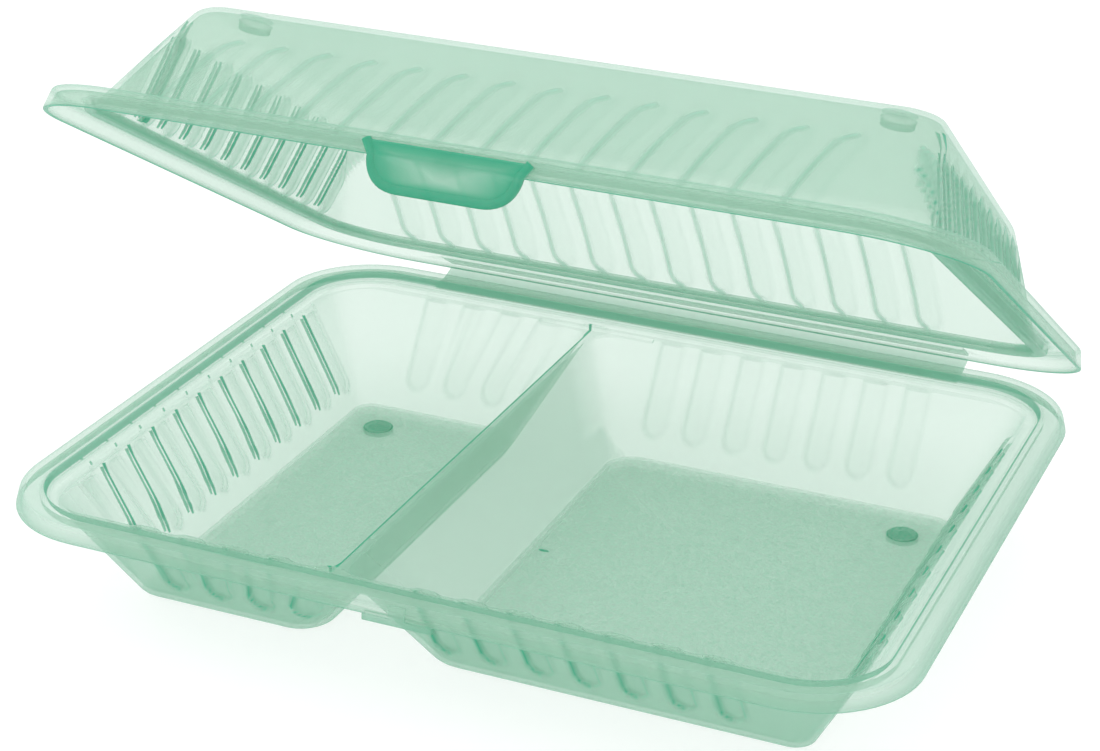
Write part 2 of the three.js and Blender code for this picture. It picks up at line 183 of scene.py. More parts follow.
# Where the marks are
FROST_TOP = 2.4
PEBBLE_SCALE = 1.1
PEBBLE_HEIGHT = 0.0003  # in metres
PAD_SPREAD = 0.3  # a pad's tone reaches this far past it
LINE_HALF = 0.6
LINE_OFFSET = 0.4  # from a flute's edge to the middle of its line
ROW_MARGIN = 6  # the lines stop this much before the ends of a row
TRAY_LINES_X = 94
LID_LINES_X = 101
CORNER_LINE_Y = -58
CORNER_LINE_HALF = 4 / 3
NICK = (-5.5, 2.2)
NICK_HALF = 0.7
NICK_STRETCH = 0.4
GROOVE = (8.6, 12.8)  # insets of the lid's groove, beside the foot of the dome
GROOVE_DROP = 0.6
END_FLOOR_Y = 68
WALL_REACH = 3.2  # a wall's flutes colour what lies this near to its face
FLANK_WIDTH = 1.3

# Tones of plain surfaces, from 0 for the palest to 1 for the deepest green
FLOOR_TONE = 0.06
TRAY_WALL_TONE = 0.04
# Painted shade on the front walls and on the divider's walls
FRONT_WALL_SHADE = 0.2
DIVIDER_SHADE = 0.14
RIM_TONE = 0.02
# Painted shade along the rim's bends and its foot, and a line of it in the step inside the bead
RIM_EDGE_SHADE = 0.2
RIM_FOOT_SHADE = 0.5
BEAD_SHADE_LINE = 0.75
DOME_TONE = 0.06
# Painted shade in the lid's groove, and along the bends and the foot of its rim
GROOVE_SHADE = 0.5
LID_EDGE_SHADE = 0.3
LID_FOOT_SHADE = 0.7
TAB_TONE = 1
TAB_MIDDLE_TONE = 0.6

# Painted shade on the flutes' two flanks, crisp and soft, on each wall
TRAY_FLANK_SHADES = {"left": (0.02, 0.22), "right": (0.4, 0.3), "front": (0.95, 0.5), "back": (0.13, 0.08)}
LID_FLANK_SHADES = {"left": (0.1, 0.5), "right": (0.8, 0.6), "front": (0.45, 0.1), "back": (0.42, 0.1)}

# The light, and the white floor in it
KEY_DIRECTION = (-0.5, -0.25, 0.83)
DIM_SIDE = 0.75
BRIGHT_SIDE = 1.35
FLOOR_HALF = 4000
FLOOR_DROP = 0.2
FLOOR_GREY = 0.38
FLOOR_GLOW = 0.68

# The camera: the photograph's frame and optical centre in pixels, and where it stands
FRAME_WIDTH = 1100
FRAME_HEIGHT = 751
FOCAL_PIXELS = 2617.87
CENTRE_PIXELS = (546.74, 374.62)
SENSOR_WIDTH = 36
CAMERA_TURN = radians(22.57)
CAMERA_TILT = radians(23.99)
CAMERA_ROLL = radians(1.32)
CAMERA_OFFSET = (3.33, -54.14, -757.93)

LAND_Z = RIM_HEIGHT - LAND_DROP
RIDGE_Z = LAND_Z - RIDGE_DROP
LID_RIM_Z = RIM_HEIGHT + FIT + WALL
LID_FOOT_Z = LAND_Z + FOOT_FIT
ROOF_Z = LID_RIM_Z + LID_RISE
MOUTH_X = RIM_LENGTH / 2 - LAND_INSET
MOUTH_Y = RIM_DEPTH / 2 - LAND_INSET


def new_object(name, points, faces):
    """A mesh from points in millimetres."""
    mesh = bpy.data.meshes.new(name)
    mesh.from_pydata([Vector(p) * METRE for p in points], [], faces)
    mesh.update()
    made = bpy.data.objects.new(name, mesh)
    bpy.context.scene.collection.objects.link(made)
    return made


def skin(name, rings, closed):
    """Joins rings of equal length, capped at both ends or joined end to end."""
    count = len(rings[0])
    points = [p for ring in rings for p in ring]
    faces = []
    bands = len(rings) if closed else len(rings) - 1
    for r in range(bands):
        low = r * count
        high = (r + 1) % len(rings) * count
        for i in range(count):
            j = (i + 1) % count
            faces.append((low + i, low + j, high + j, high + i))
    if not closed:
        top = (len(rings) - 1) * count
        for ring, first, up in ((rings[0], 0, False), (rings[-1], top, True)):
            middle = len(points)
            points.append(tuple(sum(p[k] for p in ring) / count for k in range(3)))
            for i in range(count):
                j = (i + 1) % count
                pair = (first + i, first + j) if up else (first + j, first + i)
                faces.append((middle, *pair))
    return new_object(name, points, faces)


def smoothstep(value):
    value = min(1, max(0, value))
    return value * value * (3 - 2 * value)


def flute_share(across, past, other_past):
    """How deep a flute is, from 0 to 1, at a distance from its middle line and past its ends."""
    beyond = max(past, other_past, 0)
    distance = hypot(across, beyond)
    return smoothstep((FLUTE_HALF + FLUTE_SOFT - distance) / (2 * FLUTE_SOFT))


def side_places(low, high, centres):
    """Places along a wall: fixed ones over the flutes and stretched ones beside them."""
    if not centres:
        steps = 8
        return [low + (high - low) * i / steps for i in range(1, steps)]
    reach = FLUTE_HALF + 2 * FLUTE_SOFT
    first, last = centres[0] - reach, centres[-1] + reach
    steps = round((last - first) / SAMPLE)
    least = 0.8
    start = max(first, low + least)
    end = min(last, high - least)
    inner = [start + (end - start) * i / steps for i in range(steps + 1)]
    margin = 3
    before = [low + (start - low) * i / margin for i in range(1, margin)]
    after = [end + (high - end) * i / margin for i in range(1, margin)]
    return before + inner + after


def tub_ring(box, z, flutes, past, other_past):
    """Points round a compartment, anticlockwise from its front right corner."""
    points = []

    def corner(cx, cy, radius, start):
        for i in range(ARC_STEPS + 1):
            angle = start + pi / 2 * i / ARC_STEPS
            points.append((cx + radius * cos(angle), cy + radius * sin(angle), z))

    def wall(centres, start, end, place):
        low, high = min(start, end), max(start, end)
        places = side_places(low, high, centres)
        if start > end:
            places.reverse()
        for at in places:
            nearest = min(centres, key=lambda c: abs(c - at), default=None)
            share = 0
            if nearest is not None:
                share = flute_share(at - nearest, past, other_past)
                share *= smoothstep(min(at - low, high - at) / FLUTE_FADE)
            points.append((*place(at, FLUTE_DEPTH * share), z))

    left, right, front, back = box["left"], box["right"], box["front"], box["back"]
    lr, rr = box["left_radius"], box["right_radius"]
    corner(right - rr, front + rr, rr, -pi / 2)
    wall(flutes["right"], front + rr, back - rr, lambda at, d: (right - d, at))
    corner(right - rr, back - rr, rr, 0)
    wall(flutes["back"], right - rr, left + lr, lambda at, d: (at, back - d))
    corner(left + lr, back - lr, lr, pi / 2)
    wall(flutes["left"], back - lr, front + lr, lambda at, d: (left + d, at))
    corner(left + lr, front + lr, lr, pi)
    wall(flutes["front"], left + lr, right - rr, lambda at, d: (at, front + d))
    return points


def flute_row(count, middle):
    return [middle + (i - (count - 1) / 2) * FLUTE_PITCH for i in range(count)]


def wall_inset(depth, reach, slope, fillet):
    """How far a wall has moved inwards at a depth below its open edge."""
    centre_depth = reach - fillet
    tangent_depth = centre_depth + fillet * sin(slope)
    if depth <= tangent_depth:
        return depth * tan(slope)
    centre_inset = tangent_depth * tan(slope) + fillet * cos(slope)
    past = min(depth - centre_depth, fillet)
    return centre_inset - sqrt(max(fillet**2 - past**2, 0))


def tub(name, shape, grow):
    """The hollow of a compartment, or its outside where grow is the wall's thickness."""
    reach = shape["reach"] + grow

    def inset(depth, slope, fillet):
        return wall_inset(depth, reach, slope, fillet + grow) - grow / cos(slope)

    rings = []
    for depth in tub_depths(shape, grow):
        share = min(1, max(0, depth / reach))
        # The hollow opens out round the edge of its mouth.
        flare = 0
        edge = EDGE_RADIUS
        if not grow and depth < edge:
            flare = edge - sqrt(edge**2 - (edge - max(depth, 0)) ** 2)
        left_in, right_in = (
            inset(depth - shape[lag], shape["side_slope"], shape["side_fillet"]) - flare
            for lag in ("left_lag", "right_lag")
        )
        end_in = inset(depth, shape["end_slope"], shape["end_fillet"]) - flare
        left_radius, right_radius = (
            top + (floor - top) * share + grow + flare
            for top, floor in (shape["left_corners"], shape["right_corners"])
        )
        box = {
            "left": shape["left"] + left_in,
            "right": shape["right"] - right_in,
            "front": -MOUTH_Y + end_in,
            "back": MOUTH_Y - end_in,
            "left_radius": left_radius,
            "right_radius": right_radius,
        }
        z = shape["mouth_z"] + shape["direction"] * depth
        past_floor = depth - (shape["reach"] - FLUTE_END - FLUTE_HALF)
        past_mouth = shape["flute_start"] - depth
        lean = 0
        if shape["tilt"]:
            lean = FLUTE_LEAN * depth + FLUTE_CURL * depth**2
        flutes = dict(shape["flutes"])
        flutes["front"] = [x + lean for x in flutes["front"]]
        flutes["back"] = [x - lean for x in flutes["back"]]
        flat = tub_ring(box, z, flutes, past_floor, past_mouth)
        deepened = shape["direction"] * max(depth, 0) * shape["tilt"]
        rings.append([(px, py, pz - deepened * py) for px, py, pz in flat])
    if shape["direction"] < 0:
        rings.reverse()
    return skin(name, rings, False)


def tub_depths(shape, grow):
    """Levels close together where the wall bends and where flutes end."""
    reach = shape["reach"]
    bottom = reach + grow
    depths = [shape["overlap"]]
    if not grow:
        edge_steps = 4
        edge = [EDGE_RADIUS * (1 - cos(pi / 2 * i / edge_steps)) for i in range(1, edge_steps + 1)]
        depths = [-CUT_PAST, 0] + edge
    start = shape["flute_start"]
    if start > 0:
        step = 0.6
        depths += [start - FLUTE_HALF + step * i for i in range(-1, 8)]
    step = 0.75
    depths += [reach - FLUTE_END - FLUTE_HALF + step * i for i in range(-2, 6)]
    last = depths[-1]
    if shape["tilt"]:
        depths += [start + SAMPLE * i for i in range(int((last - start) / SAMPLE))]
    steps = 9
    depths += [last + (bottom - last) * sin(pi / 2 * i / steps) for i in range(1, steps + 1)]
    kept = []
    for depth in sorted(depth for depth in depths if depth >= depths[0]):
        if not kept or depth - kept[-1] > LEAST_STEP:
            kept.append(depth)
    kept[-1] = bottom
    return kept


def rounded(outline, steps=4, shoulders=False):
    """Rounds the corners of a closed outline of (u, v, radius)."""
    most = 0.48  # share of a side that one rounding may take up
    result = []
    count = len(outline)
    for i, (u, v, radius) in enumerate(outline):
        here = Vector((u, v))
        # Two points close to the ends of a long flat keep it plain up to its edges.
        last = Vector(outline[i - 1][:2])
        if shoulders and (here - last).length > 5 * EDGE_RADIUS:
            step = (here - last).normalized() * 2 * EDGE_RADIUS
            result += [last + step, here - step]
        if not radius:
            result.append(here)
            continue
        before = last - here
        after = Vector(outline[(i + 1) % count][:2]) - here
        half = before.angle(after) / 2
        cut = min(radius / tan(half), before.length * most, after.length * most)
        a = here + before.normalized() * cut
        b = here + after.normalized() * cut
        for k in range(steps + 1):
            t = k / steps
            result.append((1 - t) ** 2 * a + 2 * t * (1 - t) * here + t**2 * b)
    return result


def rim_band(name, outline):
    """A closed outline of (inset, height, corner radius) carried round the rim."""
    rings = []
    for inset, z in rounded(outline, shoulders=True):
        x = RIM_LENGTH / 2 - inset
        y = RIM_DEPTH / 2 - inset
        radius = RIM_CORNER - inset
        ring = []
        quarters = ((x, -y, -pi / 2), (x, y, 0), (-x, y, pi / 2), (-x, -y, pi))
        for cx, cy, start in quarters:
            cx -= radius * (1 if cx > 0 else -1)
            cy -= radius * (1 if cy > 0 else -1)
            for i in range(RIM_ARC_STEPS + 1):
                angle = start + pi / 2 * i / RIM_ARC_STEPS
                ring.append((cx + radius * cos(angle), cy + radius * sin(angle), z))
        rings.append(ring)
    return skin(name, rings, True)


def prism_x(name, outline, x0, x1):
    """An outline of (y, z, corner radius) drawn out along X."""
    section = rounded(outline, 3)
    rings = [[(x, y, z) for y, z in section] for x in (x0, x1)]
    return skin(name, rings, False)


def block(name, x0, x1, y0, y1, z0, z1):
    return prism_x(name, [(y0, z0, 0), (y1, z0, 0), (y1, z1, 0), (y0, z1, 0)], x0, x1)


def disc(name, x, y, radius, z0, z1, edge):
    """A round pad from z0 to z1, whose edge at z1 is softened."""
    steps = 48
    turns = [2 * pi * i / steps for i in range(steps)]
    levels = [(radius, z0), (radius, z1 - edge if z1 > z0 else z1 + edge), (radius - edge, z1)]
    rings = [[(x + r * cos(turn), y + r * sin(turn), z) for turn in turns] for r, z in levels]
    if z1 < z0:
        rings.reverse()
    return skin(name, rings, False)


def face_outward(made):
    """Turns a closed mesh's faces outwards."""
    mesh = made.data
    volume = 0
    mesh.calc_loop_triangles()
    for tri in mesh.loop_triangles:
        a, b, c = (mesh.vertices[v].co for v in tri.vertices)
        volume += a.dot(b.cross(c))
    if volume < 0:
        mesh.flip_normals()


def combine(base, others, operation):
    """Adds or cuts away the other objects, one by one."""
    face_outward(base)
    for other in others:
        face_outward(other)
        step = base.modifiers.new("step", "BOOLEAN")
        step.operation = operation
        step.solver = "MANIFOLD"
        step.object = other
        depsgraph = bpy.context.evaluated_depsgraph_get()
        mesh = bpy.data.meshes.new_from_object(base.evaluated_get(depsgraph))
        base.modifiers.clear()
        old = base.data
        base.data = mesh
        bpy.data.meshes.remove(old)
        bpy.data.objects.remove(other)


def compartments():
    """The hollows of the small and the large compartment."""
    side = flute_row(SIDE_FLUTES, SIDE_FLUTE_SHIFT)
    outer = (CORNER_TOP, CORNER_FLOOR)
    ridge = (RIDGE_CORNER_TOP, RIDGE_CORNER_FLOOR)
    shared = {
        "side_slope": SIDE_SLOPE,
        "end_slope": END_SLOPE,
        "side_fillet": SIDE_FILLET,
        "end_fillet": END_FILLET,
        "reach": LAND_Z - WALL,
        "mouth_z": LAND_Z,
        "direction": -1,
        "tilt": 0,
        "flute_start": TRAY_FLUTE_START,
        "overlap": TUB_START,
    }
    small_row = flute_row(SMALL_FLUTES, SMALL_FLUTE_MIDDLE)
    small = {
        **shared,
        "left": -MOUTH_X,
        "right": RIDGE_X - RIDGE_WIDTH / 2,
        "left_lag": 0,
        "right_lag": RIDGE_DROP,
        "left_corners": outer,
        "right_corners": ridge,
        "flutes": {"left": side, "right": [], "front": small_row, "back": small_row},
    }
    large_row = flute_row(LARGE_FLUTES, LARGE_FLUTE_MIDDLE)
    large = {
        **shared,
        "left": RIDGE_X + RIDGE_WIDTH / 2,
        "right": MOUTH_X,
        "left_lag": RIDGE_DROP,
        "right_lag": 0,
        "left_corners": ridge,
        "right_corners": outer,
        "flutes": {"left": [], "right": side, "front": large_row, "back": large_row},
    }
    return small, large


def tray_rim():
    foot = RIM_HEIGHT - SKIRT_HEIGHT
    top = RIM_HEIGHT
    root = LAND_Z - WALL - ROOT_DEPTH
    return rim_band(
        "rim",
        [
            (-SKIRT_FLARE, foot, 0.5),
            (0.1, top, 1.4),
            (BEAD_WIDTH, top, 1.1),
            (BEAD_WIDTH + 0.3, LAND_Z, 0.5),
            (LAND_INSET + ROOT_INNER, LAND_Z, 0),
            (LAND_INSET + ROOT_INNER, root, 0),
            (LAND_INSET - ROOT_OUTER, root, 0),
            (LAND_INSET - ROOT_OUTER - ROOT_CHAMFER, LAND_Z - WALL, 0),
            (BEAD_WIDTH - WALL, LAND_Z - WALL, 0.8),
            (BEAD_WIDTH - WALL - BEAD_DRAFT, top - WALL, 0.4),
            (WALL + 0.1, top - WALL, 0.5),
            (WALL - SKIRT_FLARE, foot, 0.5),
        ],
    )


def divider_web():
    end = MOUTH_Y + WALL
    under = RIDGE_Z - WALL
    lead = 1.2  # the ridge slopes down from the land over this length
    outline = [
        (-end, under, 0),
        (end, under, 0),
        (end, LAND_Z, 0),
        (MOUTH_Y, LAND_Z, 0.8),
        (MOUTH_Y - lead, RIDGE_Z, lead),
        (lead - MOUTH_Y, RIDGE_Z, lead),
        (-MOUTH_Y, LAND_Z, 0.8),
        (-end, LAND_Z, 0),
    ]
    return prism_x("divider", outline, RIDGE_X - WEB_REACH, RIDGE_X + WEB_REACH)


def catch_parts():
    foot = RIM_HEIGHT - SKIRT_HEIGHT
    face = -RIM_DEPTH / 2 - SKIRT_FLARE
    half = CATCH_WIDTH / 2
    ledge_outline = [
        (face - CATCH_PROUD, foot - CATCH_HEIGHT, 0.3),
        (face + CATCH_ROOT, foot - CATCH_HEIGHT, 0),
        (face + CATCH_ROOT, foot + 2 * OVERLAP, 0),
        (face - CATCH_PROUD, foot + 2 * OVERLAP, 0.3),
    ]
    ledge = prism_x("ledge", ledge_outline, LATCH_X - half, LATCH_X + half)
    width = BUTTON_WIDTH / 2
    button_top = RIM_HEIGHT - BUTTON_DROP
    button_outline = [
        (face - CATCH_PROUD, foot + OVERLAP, 0),
        (face + BUTTON_ROOT, foot + OVERLAP, 0),
        (face + BUTTON_ROOT, button_top, 0.3),
        (face - CATCH_PROUD, button_top, 0.6),
    ]
    button = prism_x("button", button_outline, LATCH_X - width, LATCH_X + width)
    return [ledge, button]


def tray_hinge():
    foot = RIM_HEIGHT - SKIRT_HEIGHT
    back = RIM_DEPTH / 2
    under = foot - HINGE_WEB - OVERLAP
    fold = HINGE_Y - HINGE_GAP
    outline = [
        (back - OVERLAP, under, 0),
        (back + HINGE_SHELF, under, 0.6),
        (fold, HINGE_Z - FIT - HINGE_WEB, 0.2),
        (fold, HINGE_Z - FIT, 0.2),
        (back + HINGE_SHELF, foot - OVERLAP, 0.6),
        (back + 1, foot + 3 * OVERLAP, 0),
        (back - OVERLAP, foot + 3 * OVERLAP, 0),
    ]
    return prism_x("fold", outline, -HINGE_HALF, HINGE_HALF)


def make_tray():
    small, large = compartments()
    shell = tub("tray_shell", large, WALL)
    added = [tub("outer", small, WALL), tray_rim(), divider_web(), *catch_parts(), tray_hinge()]
    combine(shell, added, "UNION")
    combine(shell, [tub("hollow", small, 0), tub("hollow", large, 0)], "DIFFERENCE")
    soft = 0.3
    top = WALL + PAD_HEIGHT
    pads = [disc("pad", x, PAD_Y, PAD_RADIUS, WALL / 2, top, soft) for x in (-PAD_X, PAD_X)]
    combine(shell, pads, "UNION")
    return shell


def dome():
    """The hollow of the lid, as it is when shut."""
    side = flute_row(SIDE_FLUTES, SIDE_FLUTE_SHIFT)
    end = flute_row(LID_FLUTES, LID_FLUTE_MIDDLE)
    corners = (CORNER_TOP, DOME_CORNER)
    return {
        "left": -MOUTH_X,
        "right": MOUTH_X,
        "left_lag": 0,
        "right_lag": 0,
        "left_corners": corners,
        "right_corners": corners,
        "side_slope": LID_SIDE_SLOPE,
        "end_slope": LID_END_SLOPE,
        "side_fillet": LID_SIDE_FILLET,
        "end_fillet": LID_END_FILLET,
        "tilt": ROOF_TILT,
        "reach": ROOF_Z - WALL - LID_FOOT_Z,
        "mouth_z": LID_FOOT_Z,
        "direction": 1,
        "flute_start": LID_FLUTE_START,
        "overlap": WALL / 2,
        "flutes": {"left": side, "right": side, "front": end, "back": end},
    }


def lid_rim():
    foot = LID_RIM_Z - LID_SKIRT
    under = LID_RIM_Z - WALL
    step = BEAD_WIDTH + STEP_FIT
    return rim_band(
        "rim",
        [
            (-SKIRT_FLARE - SKIRT_FIT - WALL, foot, 0.5),
            (-SKIRT_FIT - WALL + 0.1, LID_RIM_Z, 1.3),
            (step + WALL, LID_RIM_Z, 1.1),
            (step + WALL + BEAD_DRAFT, LID_FOOT_Z + WALL, 0.5),
            (LAND_INSET + ROOT_INNER, LID_FOOT_Z + WALL, 0),
            (LAND_INSET + ROOT_INNER, LID_FOOT_Z, 0),
            (step, LID_FOOT_Z, 0.6),
            (step - BEAD_DRAFT / 2, under, 0.5),
            (BEAD_DRAFT / 2 - SKIRT_FIT, under, 0.5),
            (-SKIRT_FLARE - SKIRT_FIT, foot, 0.5),
        ],
    )


def tab_edge():
    """The tab's outline from its upper left corner round to its upper right one."""
    top = LID_RIM_Z - TAB_DROP
    foot = top - TAB_LENGTH
    half = TAB_TOP_WIDTH / 2
    low = half - TAB_TAPER
    start = Vector((low - TAB_CORNER, foot))
    middle = Vector((low, foot))
    end = Vector((low + TAB_WAIST, foot + TAB_CORNER))
    right = []
    steps = 10
    for k in range(steps + 1):
        t = k / steps
        right.append(tuple((1 - t) ** 2 * start + 2 * t * (1 - t) * middle + t**2 * end))
    right.append((half, top))
    left = [(-x, z) for x, z in reversed(right)]
    return left + right


def latch_tab():
    back = RIM_DEPTH / 2 + SKIRT_FLARE + SKIRT_FIT
    edge = tab_edge()
    front_y = -back - TAB_THICKNESS
    middle_z = LID_RIM_Z - TAB_DROP - TAB_LENGTH / 2
    soft = 0.5
    rings = []
    for shrink, y in ((0, -back), (0, front_y + soft), (soft, front_y)):
        wide = 1 - shrink / (TAB_TOP_WIDTH / 2)
        tall = 1 - shrink / (TAB_LENGTH / 2)
        rings.append([(LATCH_X + x * wide, y, middle_z + (z - middle_z) * tall) for x, z in edge])
    plate = skin("plate", rings, False)
    # The lip is a round bar that follows the edge.
    bar_y = -back - LIP_RADIUS
    bar = []
    sides = 12
    for i, (x, z) in enumerate(edge):
        x0, z0 = edge[max(i - 1, 0)]
        x1, z1 = edge[min(i + 1, len(edge) - 1)]
        along = atan2(z1 - z0, x1 - x0)
        ring = []
        for k in range(sides):
            angle = 2 * pi * k / sides
            outward = LIP_RADIUS * cos(angle)
            at_x = LATCH_X + x + outward * sin(along)
            at_y = bar_y + LIP_RADIUS * sin(angle)
            ring.append((at_x, at_y, z - outward * cos(along)))
        bar.append(ring)
    return [plate, skin("lip", bar, False)]


def lid_hinge():
    back = RIM_DEPTH / 2 + SKIRT_FLARE + SKIRT_FIT
    root = back + 2 * OVERLAP
    fold = HINGE_Y - HINGE_GAP
    over = HINGE_Z + FIT
    outline = [
        (root, over + HINGE_RISE, 0),
        (fold, over, 0.2),
        (fold, over + HINGE_WEB, 0.2),
        (root, over + HINGE_RISE + HINGE_WEB, 0),
    ]
    return prism_x("fold", outline, -HINGE_HALF, HINGE_HALF)


def make_lid():
    shape = dome()
    shell = tub("lid_shell", shape, WALL)
    combine(shell, [lid_rim(), lid_hinge()], "UNION")
    face = RIM_DEPTH / 2 + SKIRT_FLARE + SKIRT_FIT
    room = BUTTON_WIDTH / 2 + BUTTON_ROOM
    window = block(
        "window",
        LATCH_X - room,
        LATCH_X + room,
        -face - OVERLAP / 2,
        -face + CATCH_ROOT,
        LID_RIM_Z - LID_SKIRT - 1,
        LID_RIM_Z - WALL - OVERLAP / 2,
    )
    combine(shell, [tub("hollow", shape, 0), window], "DIFFERENCE")
    roof = ROOF_Z - ROOF_TILT * LUG_Y * (ROOF_Z - WALL - LID_FOOT_Z) - WALL
    soft = 0.4
    foot = roof - LUG_HEIGHT
    lugs = [disc("lug", x, LUG_Y, PAD_RADIUS, roof + WALL / 2, foot, soft) for x in (-LUG_X, LUG_X)]
    combine(shell, [*latch_tab(), *lugs], "UNION")
    return shell


def swing_open(piece):
    """Turns a shut lid to how it stands in the photograph."""
    fold = Vector((0, HINGE_Y, HINGE_Z)) * METRE
    turn = Matrix.Translation(fold) @ Matrix.Rotation(-OPEN_ANGLE, 4, "X") @ Matrix.Translation(-fold)
    piece.data.transform(turn)


class Graph:
    """A new material's nodes, with short ways to add and join them."""

    def __init__(self, name):
        self.material = bpy.data.materials.new(name)
        self.material.use_nodes = True
        self.nodes = self.material.node_tree.nodes
        self.links = self.material.node_tree.links
        self.nodes.clear()

    def node(self, kind, **values):
        made = self.nodes.new(kind)
        for key, value in values.items():
            setattr(made, key, value)
        return made

    def parts(self, vector):
        """The three parts of a vector."""
        split = self.node("ShaderNodeSeparateXYZ")
        self.links.new(vector, split.inputs[0])
        return split.outputs

    def math(self, operation, *values, clamp=False):
        made = self.node("ShaderNodeMath", operation=operation, use_clamp=clamp)
        for socket, value in zip(made.inputs, values):
            if hasattr(value, "is_linked"):
                self.links.new(value, socket)
            else:
                socket.default_value = value
        return made.outputs[0]

    def product(self, first, *others):
        for other in others:
            first = self.math("MULTIPLY", first, other)
        return first

    def greener(self, green, *marks):
        """Adds marks, each given as its share at a point and its tone."""
        for share, tone in marks:
            green = self.math("MULTIPLY_ADD", share, tone, green)
        return self.math("ADD", green, 0, clamp=True)

    def circle(self, first, second, radius):
        """One inside a circle about a place given by two distances, and none outside."""
        square = self.math("ADD", self.product(first, first), self.product(second, second))
        return self.math("LESS_THAN", square, radius**2)

    def line(self, distance, half):
        """One along the middle of a line, fading to none at half its width."""
        off = self.math("ABSOLUTE", distance)
        return self.math("SUBTRACT", 2, self.math("MULTIPLY", off, 2 / half), clamp=True)


def base_green(graph):
    """How green each point was painted, and more so where it is seen at a slant."""
    painted = graph.node("ShaderNodeAttribute", attribute_name="paint").outputs["Fac"]
    facing = graph.node("ShaderNodeLayerWeight")
    facing.inputs["Blend"].default_value = 0.5
    slant = graph.math("POWER", facing.outputs["Facing"], SLANT_POWER)
    return graph.math("MULTIPLY_ADD", slant, SLANT_TONE, painted)


def flute_shade_lines(graph, x, y, z, side_x, levels):
    """A crisp line of painted shade down one side of each flute of the left and right walls."""
    row_half = FLUTE_PITCH * SIDE_FLUTES / 2 - ROW_MARGIN
    along = graph.math("SUBTRACT", y, SIDE_FLUTE_SHIFT)
    across = graph.math("WRAP", along, FLUTE_PITCH / 2, -FLUTE_PITCH / 2)
    return graph.product(
        graph.line(graph.math("ADD", across, FLUTE_HALF + LINE_OFFSET), LINE_HALF),
        graph.math("LESS_THAN", graph.math("ABSOLUTE", along), row_half),
        graph.math("GREATER_THAN", graph.math("ABSOLUTE", x), side_x),
        graph.math("GREATER_THAN", z, levels[0]),
        graph.math("LESS_THAN", z, levels[1]),
    )


def faces_inwards(graph, x):
    """One where a side wall's surface looks towards the middle of the container."""
    normal = graph.node("ShaderNodeNewGeometry").outputs["True Normal"]
    return graph.math("LESS_THAN", graph.product(graph.parts(normal)[0], x), 0)


def pad_discs(graph, x, y, middle_x, middle_y):
    """A round pad near each outer corner."""
    away = graph.math("SUBTRACT", graph.math("ABSOLUTE", x), middle_x)
    along = graph.math("SUBTRACT", y, middle_y)
    return graph.circle(away, along, PAD_RADIUS + PAD_SPREAD)


def ridge_shade_line(graph, x, y, z):
    """A crisp line of painted shade along the divider."""
    return graph.product(
        graph.line(graph.math("SUBTRACT", x, RIDGE_X - RIDGE_WIDTH / 2), LINE_HALF),
        graph.math("GREATER_THAN", z, RIDGE_Z - 1.2),
        graph.math("LESS_THAN", graph.math("ABSOLUTE", y), MOUTH_Y - 1),
    )


def gate_nick(graph, x, y, z):
    """The small mark that the mould's gate left in the large floor."""
    across = graph.math("MULTIPLY", graph.math("SUBTRACT", x, NICK[0]), NICK_STRETCH)
    along = graph.math("SUBTRACT", y, NICK[1])
    on_floor = graph.math("COMPARE", z, WALL, 0.3)
    return graph.product(graph.circle(across, along, NICK_HALF), on_floor)


def corner_shade_lines(graph, x, y, z):
    """A broad line of painted shade up the front end of each side wall of the lid."""
    middle_z = (LID_FOOT_Z + ROOF_Z) / 2
    return graph.product(
        graph.line(graph.math("SUBTRACT", y, CORNER_LINE_Y), CORNER_LINE_HALF),
        graph.math("GREATER_THAN", graph.math("ABSOLUTE", x), LID_LINES_X),
        graph.math("COMPARE", z, middle_z, LID_RISE / 2 - 1.5),
    )


def pebbles(graph, place, frost):
    """Fine unevenness of the frosted floors, above and below zero."""
    noise = graph.node("ShaderNodeTexNoise")
    noise.inputs["Scale"].default_value = PEBBLE_SCALE
    noise.inputs["Detail"].default_value = 0
    graph.links.new(place, noise.inputs["Vector"])
    return graph.product(graph.math("SUBTRACT", noise.outputs["Fac"], 0.5), frost)


def surface(graph, green, opacity, gloss):
    """Mixes clear plastic with a dense, glossy green that light shines through."""
    links = graph.links
    tint = graph.node("ShaderNodeMix", data_type="RGBA")
    tint.inputs["A"].default_value = (*PALE_GREEN, 1)
    tint.inputs["B"].default_value = (*DEEP_GREEN, 1)
    links.new(green, tint.inputs["Factor"])
    colour = tint.outputs["Result"]
    links.new(colour, gloss.inputs["Base Color"])
    gloss.inputs["IOR"].default_value = 1.49

    glow = graph.node("ShaderNodeBsdfTranslucent")
    links.new(colour, glow.inputs["Color"])
    dense = graph.node("ShaderNodeMixShader")
    dense.inputs[0].default_value = GLOW_SHARE
    links.new(gloss.outputs[0], dense.inputs[1])
    links.new(glow.outputs[0], dense.inputs[2])

    clear = graph.node("ShaderNodeBsdfTransparent")
    clear.inputs["Color"].default_value = (*CLEAR_GREEN, 1)
    mixed = graph.node("ShaderNodeMixShader")
    links.new(opacity, mixed.inputs[0])
    links.new(clear.outputs[0], mixed.inputs[1])
    links.new(dense.outputs[0], mixed.inputs[2])
    links.new(mixed.outputs[0], graph.node("ShaderNodeOutputMaterial").inputs["Surface"])
    return graph.material


